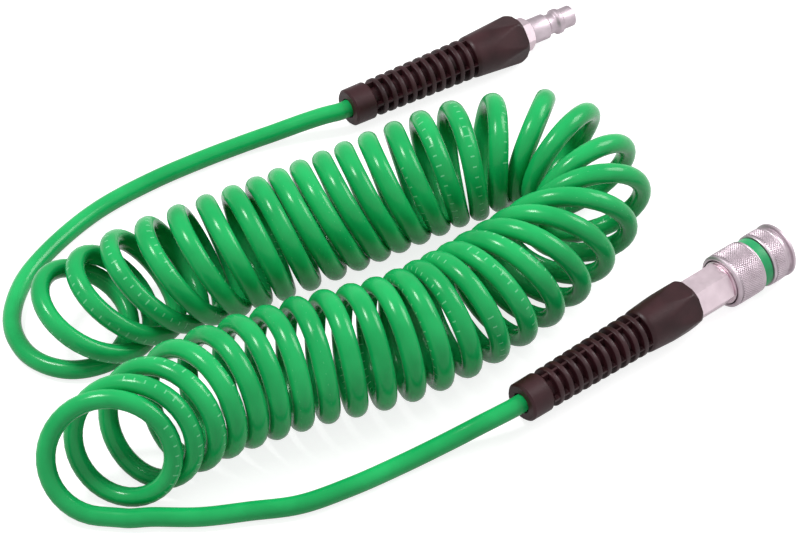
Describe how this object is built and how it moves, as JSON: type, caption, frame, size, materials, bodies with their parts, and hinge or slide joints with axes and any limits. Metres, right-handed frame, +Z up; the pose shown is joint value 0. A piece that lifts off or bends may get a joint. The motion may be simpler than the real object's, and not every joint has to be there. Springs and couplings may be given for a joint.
{
  "type": "coiled air hose",
  "caption": "Green coiled air hose lying in a U, with a male plug on one end and a quick coupler on the other, both behind ribbed rubber bend guards.",
  "frame": {"origin": "centre of the footprint, on the floor the hose lies on", "axes": "+X out of the coupler's mouth along its axis, +Z up, +Y from the coupler toward the plug"},
  "size_m": [0.3686, 0.2334, 0.054],
  "materials": {
    "hose": "gloss",
    "boot_rubber": "satin",
    "ferrule_steel": "satin",
    "brass": "satin",
    "nitrile": "matte",
    "plated_steel": "satin",
    "spring_steel": "satin",
    "ball_steel": "polished",
    "band": "satin"
  },
  "bodies": {
    "frame": {"hose_coil": "hose", "plug_hose_tail": "hose", "coupler_hose_tail": "hose", "plug_boot": "boot_rubber", "coupler_boot": "boot_rubber", "plug_ferrule": "ferrule_steel", "coupler_ferrule": "ferrule_steel", "plug_hose_connector": "brass", "coupler_hose_connector": "brass", "plug_thread_washer": "nitrile", "coupler_thread_washer": "nitrile", "plug_nipple": "plated_steel", "coupler_body": "plated_steel", "coupler_nose": "plated_steel", "plug_seal": "nitrile", "sleeve_stop_ring": "spring_steel", "sleeve_spring": "spring_steel", "valve_spring": "spring_steel"},
    "valve": {"valve_poppet": "brass", "valve_seal": "nitrile"},
    "sleeve_carrier": {"spring_washer": "spring_steel"},
    "sleeve": {"locking_sleeve": "plated_steel", "sleeve_band": "band"},
    "ball_1": {"locking_ball_1": "ball_steel"},
    "ball_2": {"locking_ball_2": "ball_steel"},
    "ball_3": {"locking_ball_3": "ball_steel"},
    "ball_4": {"locking_ball_4": "ball_steel"},
    "ball_5": {"locking_ball_5": "ball_steel"},
    "ball_6": {"locking_ball_6": "ball_steel"}
  },
  "joints": [
    {"name": "sleeve_slide", "type": "slide", "parent": "frame", "child": "sleeve_carrier", "axis": [-1, 0, 0], "range_m": [0, 0.0035], "stiffness_N_per_m": 1500, "deforming": ["sleeve_spring"]},
    {"name": "sleeve_spin", "type": "hinge", "parent": "sleeve_carrier", "child": "sleeve", "pos_m": [0.12014, -0.10449, 0.0122], "axis": [1, 0, 0], "continuous": true},
    {"name": "valve_slide", "type": "slide", "parent": "frame", "child": "valve", "axis": [-1, 0, 0], "range_m": [0, 0.004], "stiffness_N_per_m": 800, "deforming": ["valve_spring"]},
    {"name": "ball_1_slide", "type": "slide", "parent": "frame", "child": "ball_1", "axis": [0, 0, 1], "range_m": [0, 0.0014]},
    {"name": "ball_2_slide", "type": "slide", "parent": "frame", "child": "ball_2", "axis": [0, -0.866, 0.5], "range_m": [0, 0.0014]},
    {"name": "ball_3_slide", "type": "slide", "parent": "frame", "child": "ball_3", "axis": [0, -0.866, -0.5], "range_m": [0, 0.0014]},
    {"name": "ball_4_slide", "type": "slide", "parent": "frame", "child": "ball_4", "axis": [0, 0, -1], "range_m": [0, 0.0014]},
    {"name": "ball_5_slide", "type": "slide", "parent": "frame", "child": "ball_5", "axis": [0, 0.866, -0.5], "range_m": [0, 0.0014]},
    {"name": "ball_6_slide", "type": "slide", "parent": "frame", "child": "ball_6", "axis": [0, 0.866, 0.5], "range_m": [0, 0.0014]}
  ],
  "couplings": [
    {"joint": "ball_1_slide", "follows": "sleeve_slide", "ratio": 0.4},
    {"joint": "ball_2_slide", "follows": "sleeve_slide", "ratio": 0.4},
    {"joint": "ball_3_slide", "follows": "sleeve_slide", "ratio": 0.4},
    {"joint": "ball_4_slide", "follows": "sleeve_slide", "ratio": 0.4},
    {"joint": "ball_5_slide", "follows": "sleeve_slide", "ratio": 0.4},
    {"joint": "ball_6_slide", "follows": "sleeve_slide", "ratio": 0.4}
  ]
}
